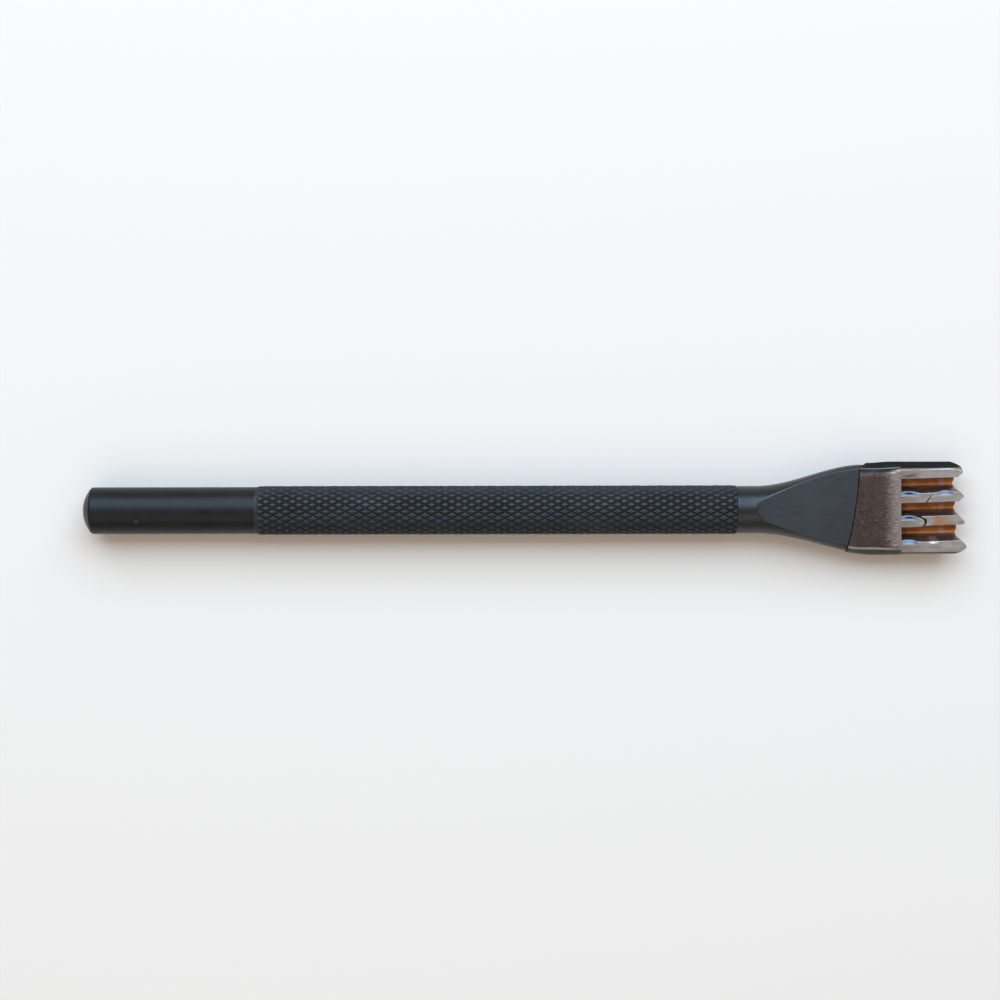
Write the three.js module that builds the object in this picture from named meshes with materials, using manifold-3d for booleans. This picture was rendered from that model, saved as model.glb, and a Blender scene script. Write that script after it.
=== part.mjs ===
// A four-tooth pricking iron, 3 mm stitch pitch, lying on its back with the teeth towards +X.
// The real tool is one bar of hardened steel. Each machined zone of the bar is its own closed solid,
// and the zones meet face to face on the planes where one machining step ends and the next begins.
// Millimetres, +Z up. The origin is under the middle of the tool, on the surface it lies on.

import * as THREE from 'three';
import { mergeVertices } from 'three/addons/utils/BufferGeometryUtils.js';
import Module from 'manifold-3d';

const wasm = await Module();
wasm.setup();

// Stations along the bar, measured from the struck end.
const CROWN_END = 1.25;
const SHANK_END = 21.5;
const GRIP_END = 81.5;
const NECK_END = 84.1;
const CREASE = 96.3;
const TOOTH_ROOT = 102.1;

// The round bar.
const BAR_RADIUS = 2.92;
const NECK_RADIUS = 2.96;
const BAR_SIDES = 48;
const CROWN_RADIUS = 4.3;
const CROWN_FLAT = 0.9;
const CROWN_RIM = 2.55;

// The diamond knurl: pyramids between two crossed sets of helical grooves.
const KNURL_STARTS = 21;
const KNURL_ROWS = 72;
const KNURL_PEAK = 3.06;
const KNURL_VALLEY = 2.84;
const KNURL_LEAD_IN = 0.7;
const KNURL_LEAD_RADIUS = 2.91;

// The flare, forged out of the bar, and the facets ground on its front and back. The facets' profile
// is in distance from the neck and height.
const FLARE_LENGTH = 14.4;
const FLARE_TOP = 5.88;
const FLARE_BOTTOM = -5.6;
const FLARE_SQUARING = 0.55;
const FLARE_PINCH = 0.95;
const FACET_PROFILE = [[-0.2, 3.02], [0.2, 2.75], [0.8, 2.59], [5.5, 1.95]];

// The ground faces of the head. Their plane leans by these slopes along X and across Y.
const HEAD_HALF_THICKNESS = 1.28;
const HEAD_SLOPE_X = -0.01;
const HEAD_SLOPE_Y = -0.016;
const CREASE_LEAN = 0.157;

// Four teeth and the three slanted grooves between them, cut from the front.
const PITCH = 3.0;
const TOOTH_WIDTH = 1.16;
const TOP_TOOTH_Y = 4.5;
const TOOTH_COUNT = 4;
const SLANT = 0.477;
const TOOTH_SKEW = 0.027;
const GROOVE_FLOOR = -0.5;
const GROOVE_FILLET = 0.42;
const OUTER_ALLOWANCE = 2;
const BACK_BEVEL = 1.3;
const TIP_THICKNESS = 0.3;
const STEP_TOOTH = 3;
const STEP_X = 105.2;
const STEP_RAMP = 0.4;
const STEP_DEPTH = 0.28;

// The outline of the tips, ground upright and by hand: four points on a leaning line, lopsided
// scallops between them, and two rounded outer corners.
const TIP_YS = [4.55, 1.6, -1.65, -4.6];
const TIP_MIDDLE = 110.02;
const TIP_LEAN = -0.045;
const LENGTH = TIP_MIDDLE + TIP_LEAN * TIP_YS.at(-1);
const SCALLOP_DEPTH = 1.12;
const SCALLOP_BIAS = 0.87;
const SCALLOP_FLATNESS = 1.3;
const UPPER_CORNER = 1.5;
const LOWER_CORNER = 2.1;
const LOWER_CORNER_WIDTH = 1.18;

// The head's section, in Y and Z: a slanted upper side, a rounded lower side, broken edges.
const HEAD_SECTION = [
  [4.3, 1.4], [5.36, 0.95], [6.05, -0.45], [5.85, -1.4],
  [-5.1, -1.4], [-5.55, -0.9], [-5.7, 0.1], [-5.5, 0.85], [-4.9, 1.4],
];
const HEAD_TOP = 6.05;
const HEAD_BOTTOM = -5.7;

const blackOxide = { color: 0x2b2c2f, roughness: 0.45, metalness: 0.8 };
const blued = { color: 0x3c4248, roughness: 0.4, metalness: 0.85 };
const groundSteel = { color: 0x7d7268, roughness: 0.35, metalness: 0.95 };
const polishedSteel = { color: 0xa39a90, roughness: 0.25, metalness: 0.95 };
const amber = { color: 0x7a4320, roughness: 0.2, metalness: 0.6 };

const tool = new THREE.Group();
tool.position.set(-LENGTH / 2, -(HEAD_TOP + HEAD_BOTTOM) / 2, KNURL_PEAK);

function addPart(name, geometry, finish) {
  const mesh = new THREE.Mesh(geometry, new THREE.MeshStandardMaterial(finish));
  mesh.name = name;
  tool.add(mesh);
}

// Solids and their joins and cuts.
function toSolid(geometry) {
  const bare = geometry.index ? geometry.clone() : geometry;
  for (const name of ['normal', 'uv']) {
    bare.deleteAttribute(name);
  }
  const merged = mergeVertices(bare, 1e-5);
  const vertProperties = new Float32Array(merged.attributes.position.array);
  const triVerts = new Uint32Array(merged.index.array);
  return new wasm.Manifold(new wasm.Mesh({ numProp: 3, vertProperties, triVerts }));
}

function toGeometry(solid) {
  const mesh = solid.getMesh();
  const geometry = new THREE.BufferGeometry();
  geometry.setAttribute('position', new THREE.BufferAttribute(mesh.vertProperties, 3));
  geometry.setIndex(new THREE.BufferAttribute(mesh.triVerts, 1));
  return geometry;
}

// Moves every vertex of a geometry by a rule.
function reshape(geometry, rule) {
  const position = geometry.attributes.position;
  const point = new THREE.Vector3();
  for (let i = 0; i < position.count; i += 1) {
    point.fromBufferAttribute(position, i);
    rule(point);
    position.setXYZ(i, point.x, point.y, point.z);
  }
  return geometry;
}

// A closed outline in Y and Z, swept along X.
function sweepAlongX(outline, startX, endX) {
  const shape = new THREE.Shape(outline.map(([y, z]) => new THREE.Vector2(y, z)));
  const geometry = new THREE.ExtrudeGeometry(shape, { depth: endX - startX, bevelEnabled: false });
  return reshape(geometry, (p) => p.set(startX + p.z, p.x, p.y));
}

// A closed outline in X and Z, swept across the whole width of the tool.
function sweepAcrossY(outline) {
  const halfWidth = 9;
  const shape = new THREE.Shape(outline.map(([x, z]) => new THREE.Vector2(x, z)));
  const geometry = new THREE.ExtrudeGeometry(shape, { depth: 2 * halfWidth, bevelEnabled: false });
  return reshape(geometry, (p) => p.set(p.x, halfWidth - p.z, p.y));
}

// A block that fills the space between two stations. Its ends may lean across Y.
function blockBetween(startX, startLean, endX, endLean) {
  const size = 40;
  const block = new THREE.BoxGeometry(1, size, size);
  return reshape(block, (p) => {
    p.x = p.x < 0 ? startX + startLean * p.y : endX + endLean * p.y;
  });
}

// A round zone of the bar, turned about the X axis. The profile is in radius and station.
function turned(profile) {
  const points = profile.map(([radius, station]) => new THREE.Vector2(radius, station));
  const geometry = new THREE.LatheGeometry(points, BAR_SIDES);
  return geometry.rotateZ(-Math.PI / 2);
}

function strikingCrown() {
  const profile = [[0, 0]];
  const sink = (radius) => CROWN_RADIUS - Math.sqrt(CROWN_RADIUS ** 2 - radius ** 2);
  const steps = 5;
  for (let i = 0; i <= steps; i += 1) {
    const radius = THREE.MathUtils.lerp(CROWN_FLAT, CROWN_RIM, i / steps);
    profile.push([radius, sink(radius) - sink(CROWN_FLAT)]);
  }
  const rimX = profile.at(-1)[1];
  const rim = new THREE.QuadraticBezierCurve(
    new THREE.Vector2(CROWN_RIM, rimX),
    new THREE.Vector2(BAR_RADIUS, rimX + 0.2),
    new THREE.Vector2(BAR_RADIUS, CROWN_END),
  );
  for (const point of rim.getPoints(4).slice(1)) {
    profile.push([point.x, point.y]);
  }
  profile.push([0, CROWN_END]);
  return turned(profile);
}

function roundBar(radius, startX, endX) {
  return turned([[0, startX], [radius, startX], [radius, endX], [0, endX]]);
}

// Rings of points along the grip. Every second point is a diamond's peak, the others are groove
// crossings, and each cell of the grid is divided along the groove that crosses it.
function knurledGrip() {
  const columns = 2 * KNURL_STARTS;
  const positions = [];
  const indices = [];
  const addRing = (x, radiusAt) => {
    for (let j = 0; j < columns; j += 1) {
      const angle = (2 * Math.PI * (j + 0.5)) / columns;
      const radius = radiusAt(j);
      positions.push(x, radius * Math.cos(angle), radius * Math.sin(angle));
    }
  };
  const firstX = SHANK_END + KNURL_LEAD_IN;
  const isPeak = (row, j) => (row + j) % 2 === 1;
  addRing(SHANK_END, () => KNURL_LEAD_RADIUS);
  for (let row = 0; row <= KNURL_ROWS; row += 1) {
    const x = THREE.MathUtils.lerp(firstX, GRIP_END, row / KNURL_ROWS);
    addRing(x, (j) => (isPeak(row, j) ? KNURL_PEAK : KNURL_VALLEY));
  }
  for (let ring = 0; ring <= KNURL_ROWS; ring += 1) {
    for (let j = 0; j < columns; j += 1) {
      const next = (j + 1) % columns;
      const a = ring * columns + j;
      const b = ring * columns + next;
      const c = a + columns;
      const d = b + columns;
      const grooveFromA = !isPeak(ring + 1, j);
      if (grooveFromA) {
        indices.push(a, b, d, a, d, c);
      } else {
        indices.push(a, b, c, b, d, c);
      }
    }
  }
  const startCentre = positions.length / 3;
  const endCentre = startCentre + 1;
  positions.push(SHANK_END, 0, 0, GRIP_END, 0, 0);
  const lastRing = (KNURL_ROWS + 1) * columns;
  for (let j = 0; j < columns; j += 1) {
    const next = (j + 1) % columns;
    indices.push(startCentre, next, j);
    indices.push(endCentre, lastRing + j, lastRing + next);
  }
  const geometry = new THREE.BufferGeometry();
  geometry.setAttribute('position', new THREE.Float32BufferAttribute(positions, 3));
  geometry.setIndex(indices);
  return geometry;
}

// The height of the ground faces above and below the middle plane.
function groundHeight(x, y) {
  return HEAD_HALF_THICKNESS + HEAD_SLOPE_X * (x - CREASE) + HEAD_SLOPE_Y * y;
}

// The flare swells sideways. Its round section grows squarer, then sharper towards the head, and
// facets cut its front and back.
function flaredShoulder() {
  const rows = 16;
  const body = new THREE.CylinderGeometry(1, 1, 1, BAR_SIDES, rows);
  body.rotateZ(-Math.PI / 2);
  reshape(body, (p) => {
    const along = p.x + 0.5;
    const swell = THREE.MathUtils.smoothstep(along, 0, 1);
    const side = p.y > 0 ? FLARE_TOP : -FLARE_BOTTOM;
    const halfWidth = THREE.MathUtils.lerp(NECK_RADIUS, side, swell);
    const squaring = FLARE_SQUARING * THREE.MathUtils.smoothstep(along, 0, 0.4);
    const pinch = FLARE_PINCH * THREE.MathUtils.smoothstep(along, 0.55, 0.95);
    const power = 2 / (2 + squaring - pinch);
    const squared = (value) => Math.sign(value) * Math.abs(value) ** power;
    p.x = NECK_END + FLARE_LENGTH * along;
    p.y = halfWidth * squared(p.y);
    p.z = NECK_RADIUS * squared(p.z);
  });
  const facetTop = FACET_PROFILE.map(([offset, height]) => [NECK_END + offset, height]);
  const [lastX, lastZ] = facetTop.at(-1);
  const slope = (HEAD_HALF_THICKNESS - lastZ) / (CREASE - lastX);
  const farX = CREASE + 3;
  facetTop.push([farX, HEAD_HALF_THICKNESS + slope * (farX - CREASE)]);
  const facetBottom = facetTop.map(([x, z]) => [x, -z]).reverse();
  const facets = sweepAcrossY([...facetTop, ...facetBottom]);
  const zone = blockBetween(NECK_END, 0, CREASE, CREASE_LEAN);
  return toSolid(body).intersect(toSolid(facets)).intersect(toSolid(zone));
}

const toothY = (k) => TOP_TOOTH_Y - PITCH * (k - 1);

// How far the outline of the tips lies behind the line through their points.
function setBack(y) {
  const above = TIP_YS.findLastIndex((tip) => tip >= y);
  if (above < 0) {
    return UPPER_CORNER * ((y - TIP_YS[0]) / UPPER_CORNER) ** 3;
  }
  const below = TIP_YS[above] - y;
  if (above === TIP_YS.length - 1) {
    return LOWER_CORNER * (below / LOWER_CORNER_WIDTH) ** 2;
  }
  const share = below / (TIP_YS[above] - TIP_YS[above + 1]);
  return SCALLOP_DEPTH * Math.sin(Math.PI * share ** SCALLOP_BIAS) ** SCALLOP_FLATNESS;
}

// The upright column inside the outline of the tips.
function tipOutline() {
  const startX = CREASE - 3;
  const knots = [HEAD_TOP, ...TIP_YS, HEAD_BOTTOM];
  const shape = new THREE.Shape();
  shape.moveTo(startX, HEAD_BOTTOM - 1);
  shape.lineTo(startX, HEAD_TOP + 1);
  shape.lineTo(TIP_MIDDLE - UPPER_CORNER, HEAD_TOP + 1);
  const steps = 14;
  for (let i = 1; i < knots.length; i += 1) {
    for (let j = i === 1 ? 0 : 1; j <= steps; j += 1) {
      const y = THREE.MathUtils.lerp(knots[i - 1], knots[i], j / steps);
      shape.lineTo(TIP_MIDDLE + TIP_LEAN * y - setBack(y), y);
    }
  }
  shape.lineTo(TIP_MIDDLE - LOWER_CORNER, HEAD_BOTTOM - 1);
  const depth = 8;
  const geometry = new THREE.ExtrudeGeometry(shape, { depth, bevelEnabled: false });
  return toSolid(geometry.translate(0, 0, -depth / 2));
}

// Slants a shape that was drawn at the height of the front face. The teeth are also skewed a little
// to the bar.
function slant(point) {
  point.y += SLANT * (HEAD_HALF_THICKNESS - point.z) + TOOTH_SKEW * (point.x - TIP_MIDDLE);
}

// The whole head before its grooves: side walls, ground faces, the bevel behind the tips and their
// outline.
function headBlank() {
  const endX = LENGTH + 1;
  const sides = sweepAlongX(HEAD_SECTION, CREASE - 3, endX);
  const faces = new THREE.BoxGeometry(1, 30, 2);
  reshape(faces, (p) => {
    p.x = p.x < 0 ? CREASE - 3 : endX;
    p.z *= groundHeight(p.x, p.y);
  });
  const bevel = sweepAcrossY([
    [CREASE - 3, 3],
    [CREASE - 3, -3],
    [TIP_MIDDLE - BACK_BEVEL - 1.6, -3],
    [TIP_MIDDLE - BACK_BEVEL, -HEAD_HALF_THICKNESS],
    [TIP_MIDDLE, HEAD_HALF_THICKNESS - TIP_THICKNESS],
    [TIP_MIDDLE, 3],
  ]);
  reshape(bevel, (p) => {
    p.x += p.x > CREASE ? TIP_LEAN * p.y : 0;
  });
  const slab = toSolid(sides).intersect(toSolid(faces));
  return slab.intersect(toSolid(bevel)).intersect(tipOutline());
}

// The slanted column that holds one tooth.
function toothColumn(k) {
  const y = toothY(k);
  const upper = y + TOOTH_WIDTH / 2 + (k === 1 ? OUTER_ALLOWANCE : 0);
  const lower = y - TOOTH_WIDTH / 2 - (k === TOOTH_COUNT ? OUTER_ALLOWANCE : 0);
  const column = new THREE.BoxGeometry(1, 1, 6);
  reshape(column, (p) => {
    p.x = p.x < 0 ? TOOTH_ROOT : LENGTH + 2;
    p.y = p.y < 0 ? lower : upper;
    slant(p);
  });
  return toSolid(column);
}

// The low front of the stepped tooth: everything above this is ground away.
function stepCutter() {
  const top = HEAD_HALF_THICKNESS + 1;
  const low = groundHeight(STEP_X, toothY(STEP_TOOTH)) - STEP_DEPTH;
  const cutter = sweepAcrossY([
    [STEP_X, top],
    [STEP_X, low + STEP_DEPTH],
    [STEP_X + STEP_RAMP / 2, low + STEP_DEPTH / 5],
    [STEP_X + STEP_RAMP, low],
    [LENGTH + 1, low + HEAD_SLOPE_X * (LENGTH + 1 - STEP_X)],
    [LENGTH + 1, top],
  ]);
  return toSolid(cutter);
}

// The web left under one groove. The groove's floor is rounded up into the walls of the teeth.
function webColumn(k) {
  const halfWidth = (PITCH - TOOTH_WIDTH) / 2;
  const middle = toothY(k) - PITCH / 2;
  const filletTop = GROOVE_FLOOR + GROOVE_FILLET;
  const bottom = -3;
  const shape = new THREE.Shape();
  shape.moveTo(-halfWidth, bottom);
  shape.lineTo(halfWidth, bottom);
  shape.lineTo(halfWidth, filletTop);
  shape.quadraticCurveTo(halfWidth, GROOVE_FLOOR, halfWidth - GROOVE_FILLET, GROOVE_FLOOR);
  shape.lineTo(GROOVE_FILLET - halfWidth, GROOVE_FLOOR);
  shape.quadraticCurveTo(-halfWidth, GROOVE_FLOOR, -halfWidth, filletTop);
  const depth = LENGTH + 2 - TOOTH_ROOT;
  const geometry = new THREE.ExtrudeGeometry(shape, { depth, bevelEnabled: false, curveSegments: 4 });
  reshape(geometry, (p) => {
    p.set(TOOTH_ROOT + p.z, middle + p.x, p.y);
    slant(p);
  });
  return toSolid(geometry);
}

const blank = headBlank();
const groundZone = toSolid(blockBetween(CREASE, CREASE_LEAN, TOOTH_ROOT, 0));

addPart('striking_crown', strikingCrown(), blackOxide);
addPart('plain_shank', roundBar(BAR_RADIUS, CROWN_END, SHANK_END), blackOxide);
addPart('knurled_grip', knurledGrip(), blackOxide);
addPart('neck', roundBar(NECK_RADIUS, GRIP_END, NECK_END), blackOxide);
addPart('flared_shoulder', toGeometry(flaredShoulder()), blued);
addPart('ground_head', toGeometry(blank.intersect(groundZone)), groundSteel);
for (let k = 1; k <= TOOTH_COUNT; k += 1) {
  let tooth = blank.intersect(toothColumn(k));
  if (k === STEP_TOOTH) {
    tooth = tooth.subtract(stepCutter());
  }
  addPart(`tooth_${k}`, toGeometry(tooth), polishedSteel);
}
for (let k = 1; k < TOOTH_COUNT; k += 1) {
  addPart(`groove_web_${k}`, toGeometry(blank.intersect(webColumn(k))), amber);
}

export default tool;
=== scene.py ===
"""A four-tooth pricking iron: the fine surface of each zone of the bar, its metals, a studio and a camera.

Shapes are worked out in the bar's own frame, in millimetres: X runs from the struck end to the tooth
tips, Y and Z are measured from the bar's axis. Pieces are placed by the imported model's boxes.
"""

import math

import bpy
import numpy as np
from mathutils import Matrix, Vector


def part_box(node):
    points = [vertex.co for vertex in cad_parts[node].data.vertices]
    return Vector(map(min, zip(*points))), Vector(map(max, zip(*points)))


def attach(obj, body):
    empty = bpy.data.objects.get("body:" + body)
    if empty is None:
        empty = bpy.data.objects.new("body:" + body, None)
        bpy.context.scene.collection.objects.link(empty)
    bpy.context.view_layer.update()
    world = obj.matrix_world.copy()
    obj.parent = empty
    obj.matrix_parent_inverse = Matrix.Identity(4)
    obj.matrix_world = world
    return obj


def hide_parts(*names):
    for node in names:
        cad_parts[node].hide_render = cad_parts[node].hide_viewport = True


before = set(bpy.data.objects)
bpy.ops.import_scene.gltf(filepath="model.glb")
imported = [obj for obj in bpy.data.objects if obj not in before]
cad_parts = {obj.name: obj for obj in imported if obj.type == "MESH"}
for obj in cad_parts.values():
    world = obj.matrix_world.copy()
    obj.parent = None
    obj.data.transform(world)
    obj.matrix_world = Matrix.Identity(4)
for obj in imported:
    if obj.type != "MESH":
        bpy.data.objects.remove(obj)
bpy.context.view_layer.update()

MM = 0.001
TEETH = (1, 2, 3, 4)
WEBS = (1, 2, 3)

# The bar's frame, and the stations where its zones meet.
shank_low, shank_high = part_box("plain_shank")
AXIS = (shank_low + shank_high) / 2
ORIGIN = Vector((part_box("striking_crown")[0].x, AXIS.y, AXIS.z))


def station(x):
    """How far a place in the frame is from the struck end, in millimetres."""
    return (x - ORIGIN.x) / MM


CROWN_END = station(shank_low.x)
SHANK_END = station(shank_high.x)
GRIP_END = station(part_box("knurled_grip")[1].x)
NECK_END = station(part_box("neck")[1].x)
TOOTH_ROOT = station(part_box("tooth_1")[0].x)
BAR_RADIUS = (shank_high.z - shank_low.z) / 2 / MM
NECK_RADIUS = (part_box("neck")[1].z - ORIGIN.z) / MM
KNURL_PEAK = (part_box("knurled_grip")[1].z - ORIGIN.z) / MM

# A small nick in the front of the shank.
NICK = (6.9, -1.33)

# The knurl.
KNURL_STARTS = 21
KNURL_PERIODS = 36
KNURL_DEPTH = 0.2
KNURL_LEAD_IN = 0.7
KNURL_LEAD_RADIUS = 2.91

# The flare and its facets. Each side has the length of its swelling and the half width at its end.
FLARE_TOP = (13.4, 5.62)
FLARE_BOTTOM = (16.0, 5.75)
FLARE_SQUARING = 0.55
FLARE_PINCH_TOP = 0.6
FLARE_PINCH_BOTTOM = 0.95
CREASE = 96.18
CREASE_LEAN = 0.157
CREASE_BOW = 0.28

# The head, its teeth and the slanted grooves between them.
HEAD_HALF_THICKNESS = 1.28
HEAD_SLOPE_X = -0.01
HEAD_SLOPE_Y = -0.016
PIT = (98.68, 1.56)
PITCH = 3.0
TOOTH_WIDTH = 1.16
TOP_TOOTH_Y = 4.5
SLANT = 0.477
TOOTH_SKEW = 0.027
GROOVE_FLOOR = -0.5
GROOVE_FILLET = 0.42
TIP_THICKNESS = 0.3
BACK_BEVEL = 1.3
RUN_OUT = 0.28
CUT_TOOTH = 2
CUT_X = 105.3
CUT_LEAN = 0.42
CHIP_X = 106.1
STEP_TOOTH = 3
STEP_X = 104.95
STEP_RAMP = 0.4
STEP_DEPTH = 0.28

# The upright outline of the tips: four points on a leaning line, scallops and rounded outer corners.
TIP_YS = (4.55, 1.6, -1.65, -4.6)
TIP_MIDDLE = 110.02
TIP_LEAN = -0.045
SCALLOP_DEPTH = 1.12
SCALLOP_BIAS = 0.87
SCALLOP_FLATNESS = 1.3
UPPER_CORNER = 1.5
LOWER_CORNER = 2.1
LOWER_CORNER_WIDTH = 1.18


def smooth(value, start, end):
    """0 before start, 1 after end, and a smooth rise between them."""
    t = np.clip((value - start) / (end - start), 0, 1)
    return t * t * (3 - 2 * t)


def hill(value, middle, half_width):
    """1 at the middle, falling smoothly to 0 at half_width on both sides."""
    return 1 - smooth(np.abs(value - middle), 0, half_width)


def ripple(x, y, z, seed):
    """Smooth unevenness between about -1 and 1, as the sum of a few waves in fixed directions."""
    random = np.random.default_rng(seed)
    total = 0
    for octave in range(5):
        turn = random.uniform(0, 2 * math.pi, 3)
        way = random.normal(size=3)
        way *= (1 + 0.6 * octave) / np.linalg.norm(way)
        total = total + np.sin(way[0] * x + way[1] * y + way[2] * z + turn[0]) / (1 + octave)
    return total / 2


# ---------------------------------------------------------------------------------------------------
# Meshes


def loft(name, rings, marks=None):
    """A closed mesh through rings of points. Rings run along +X and turn from +Y towards +Z.

    rings is an array (ring, column, 3) in the bar's frame. marks maps the names of surface values to
    arrays (ring, column). Each end is closed round its middle point.
    """
    count, columns = rings.shape[:2]
    ends = [rings[0].mean(axis=0), rings[-1].mean(axis=0)]
    points = np.concatenate([rings.reshape(-1, 3), ends])
    r, c = np.meshgrid(np.arange(count - 1), np.arange(columns), indexing="ij")
    after = (c + 1) % columns
    corners = (r * columns + c, r * columns + after, (r + 1) * columns + after, (r + 1) * columns + c)
    sides = np.stack(corners, axis=-1).reshape(-1, 4)
    around = np.arange(columns)
    following = (around + 1) % columns
    first, last = count * columns, count * columns + 1
    base = (count - 1) * columns
    start = np.stack([np.full(columns, first), following, around], axis=-1)
    finish = np.stack([np.full(columns, last), base + around, base + following], axis=-1)

    mesh = bpy.data.meshes.new(name)
    mesh.from_pydata(points.tolist(), [], sides.tolist() + start.tolist() + finish.tolist())
    mesh.transform(Matrix.Translation(ORIGIN) @ Matrix.Scale(MM, 4))
    mesh.shade_smooth()
    mesh.set_sharp_from_angle(angle=math.radians(40))
    for mark, values in (marks or {}).items():
        layer = mesh.attributes.new(mark, "FLOAT", "POINT")
        data = np.zeros(len(points), np.float32)
        data[: count * columns] = np.broadcast_to(values, (count, columns)).reshape(-1)
        layer.data.foreach_set("value", data)
    piece = bpy.data.objects.new(name, mesh)
    bpy.context.scene.collection.objects.link(piece)
    return piece


def circle_rings(stations, radii, columns):
    """Round rings. radii is one per ring, or an array (ring, column)."""
    angle = 2 * np.pi * np.arange(columns) / columns
    radii = np.asarray(radii, float)
    if radii.ndim == 1:
        radii = radii[:, None]
    x = np.broadcast_to(np.asarray(stations, float)[:, None], (len(stations), columns))
    y = radii * np.cos(angle)
    z = radii * np.sin(angle)
    return np.stack([x, y, z], axis=-1)


def rounded(corners, radii, shine=None, arc=6, edge=6):
    """A closed outline with rounded corners, and how much each of its points is lightened, by its corner's
    shine, as a worn edge and a painted highlight.
    """
    corners = np.asarray(corners, float)
    number = len(corners)
    reach = []
    for i, corner in enumerate(corners):
        back = np.linalg.norm(corners[i - 1] - corner)
        ahead = np.linalg.norm(corners[(i + 1) % number] - corner)
        reach.append(min(radii[i], 0.45 * back, 0.45 * ahead))
    points, near = [], []
    for i, corner in enumerate(corners):
        before = corners[i - 1] - corner
        after = corners[(i + 1) % number] - corner
        start = corner + before / max(np.linalg.norm(before), 1e-9) * reach[i]
        end = corner + after / max(np.linalg.norm(after), 1e-9) * reach[i]
        for t in np.linspace(0, 1, arc + 1):
            points.append((1 - t) ** 2 * start + 2 * t * (1 - t) * corner + t * t * end)
            near.append(4 * t * (1 - t) * (shine[i] if shine else 1))
        other = corners[(i + 1) % number]
        stop = other + (corner - other) / max(np.linalg.norm(corner - other), 1e-9) * reach[(i + 1) % number]
        for t in np.linspace(0, 1, edge + 1)[1:-1]:
            points.append((1 - t) * end + t * stop)
            near.append(0)
    return np.array(points), np.array(near)


# ---------------------------------------------------------------------------------------------------
# The round zones


def make_crown():
    """The struck end: a dome with a small worn flat, and a softened rim."""
    flat, rim, dome = 0.9, 2.55, 4.3

    def sink(radius):
        return dome - np.sqrt(dome**2 - radius**2)

    inner = np.linspace(0.05, flat, 8)
    middle = np.linspace(flat, rim, 26)[1:]
    turn = np.linspace(0, 1, 14)[1:]
    rim_x = sink(rim) - sink(flat)
    rim_radius = (1 - turn) ** 2 * rim + (1 - (1 - turn) ** 2) * BAR_RADIUS
    rim_station = (1 - turn) ** 2 * rim_x + 2 * turn * (1 - turn) * (rim_x + 0.2) + turn**2 * CROWN_END
    radii = np.concatenate([inner, middle, rim_radius])
    stations = np.concatenate([0 * inner, sink(middle) - sink(flat), rim_station])
    rings = circle_rings(stations, radii, 192)
    x, y, z = np.moveaxis(rings, -1, 0)
    away = smooth(CROWN_END - x, 0, 0.5)
    rings[..., 0] += away * 0.012 * (1 + ripple(x, 2.2 * y, 2.2 * z, 3))
    worn = smooth(1.9 - np.hypot(y, z), 0, 1.5) + 0.5 * hill(np.hypot(y, z), 2.62, 0.25)
    return loft("crown_dome", rings, {"wear_and_highlight": np.clip(worn, 0, 1)})


def make_shank():
    """The smooth bar, with one small nick on its front."""
    stations = np.linspace(CROWN_END, SHANK_END, 160)
    columns = 256
    rings = circle_rings(stations, np.full(len(stations), BAR_RADIUS), columns)
    x, y, z = np.moveaxis(rings, -1, 0)
    distance = np.hypot((x - NICK[0]) / 1.2, (y - NICK[1]) / 0.6)
    nick = np.where(z > 0, np.exp(-((distance / 0.16) ** 2)), 0)
    rings[..., 1:] *= (1 - 0.02 * nick)[..., None]
    return loft("shank_bar", rings, {"wear_and_highlight": nick})


def to_whole(value):
    """How far a value is from the nearest whole number."""
    return np.abs(value - np.round(value))


def make_grip():
    """The diamond knurl: V grooves on two crossed helices, with slightly flattened, uneven crests."""
    per_period = 16
    lead = np.linspace(SHANK_END, SHANK_END + KNURL_LEAD_IN, 13)[:-1]
    body = np.linspace(SHANK_END + KNURL_LEAD_IN, GRIP_END, KNURL_PERIODS * per_period + 1)
    stations = np.concatenate([lead, body])
    columns = KNURL_STARTS * per_period
    period = (GRIP_END - SHANK_END - KNURL_LEAD_IN) / KNURL_PERIODS
    along = ((stations - SHANK_END - KNURL_LEAD_IN) / period)[:, None]
    around = (np.arange(columns) / per_period)[None, :]
    to_groove = np.minimum(to_whole(along + around), to_whole(along - around))
    rings = circle_rings(stations, np.ones(len(stations)), columns)
    x, y, z = np.moveaxis(rings, -1, 0)
    uneven = ripple(0.35 * x, 1.3 * y, 1.3 * z, 11)
    fine = ripple(5 * x, 9 * y, 9 * z, 12)
    full = 0.3 + 0.03 * uneven
    slope = np.clip(to_groove / full, 0, 1)
    height = 1 - (1 - slope) ** 1.35
    crest = smooth(slope, 0.72, 1.0)
    start = smooth(stations, SHANK_END, SHANK_END + KNURL_LEAD_IN)[:, None]
    depth = KNURL_DEPTH * (1 + 0.12 * uneven)
    top = KNURL_LEAD_RADIUS + (KNURL_PEAK - KNURL_LEAD_RADIUS) * start
    radius = top - start * (depth * (1 - height) + 0.012 * crest * (1 + fine))
    rings[..., 1:] *= radius[..., None]
    return loft("grip_knurl", rings, {"wear_and_highlight": crest * start, "groove": (1 - slope) * start})


def make_neck():
    """The short smooth stretch between the knurl and the flare, where the facets begin."""
    stations = np.linspace(GRIP_END, NECK_END, 70)
    chamfer = 0.08 * np.exp(-(stations - GRIP_END) / 0.12)
    rings = circle_rings(stations, NECK_RADIUS - chamfer, 384)
    x, y, z = np.moveaxis(rings, -1, 0)
    cut = facet_height(x, y)
    rings[..., 2] = np.sign(z) * lower_of(np.abs(z), cut, 0.05)
    # The dark ring at the start of the neck is painted shade in the corner where it meets the knurl.
    marks = {"facet": smooth(np.abs(z) - cut, 0.0, 0.06), "groove": np.exp(-(x - GRIP_END) / 0.1)}
    return loft("neck_collar", rings, marks)


# ---------------------------------------------------------------------------------------------------
# The flare and the head


def ground_height(x, y):
    """The height of the ground faces above and below the middle plane."""
    return HEAD_HALF_THICKNESS + HEAD_SLOPE_X * (x - CREASE) + HEAD_SLOPE_Y * y


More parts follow.
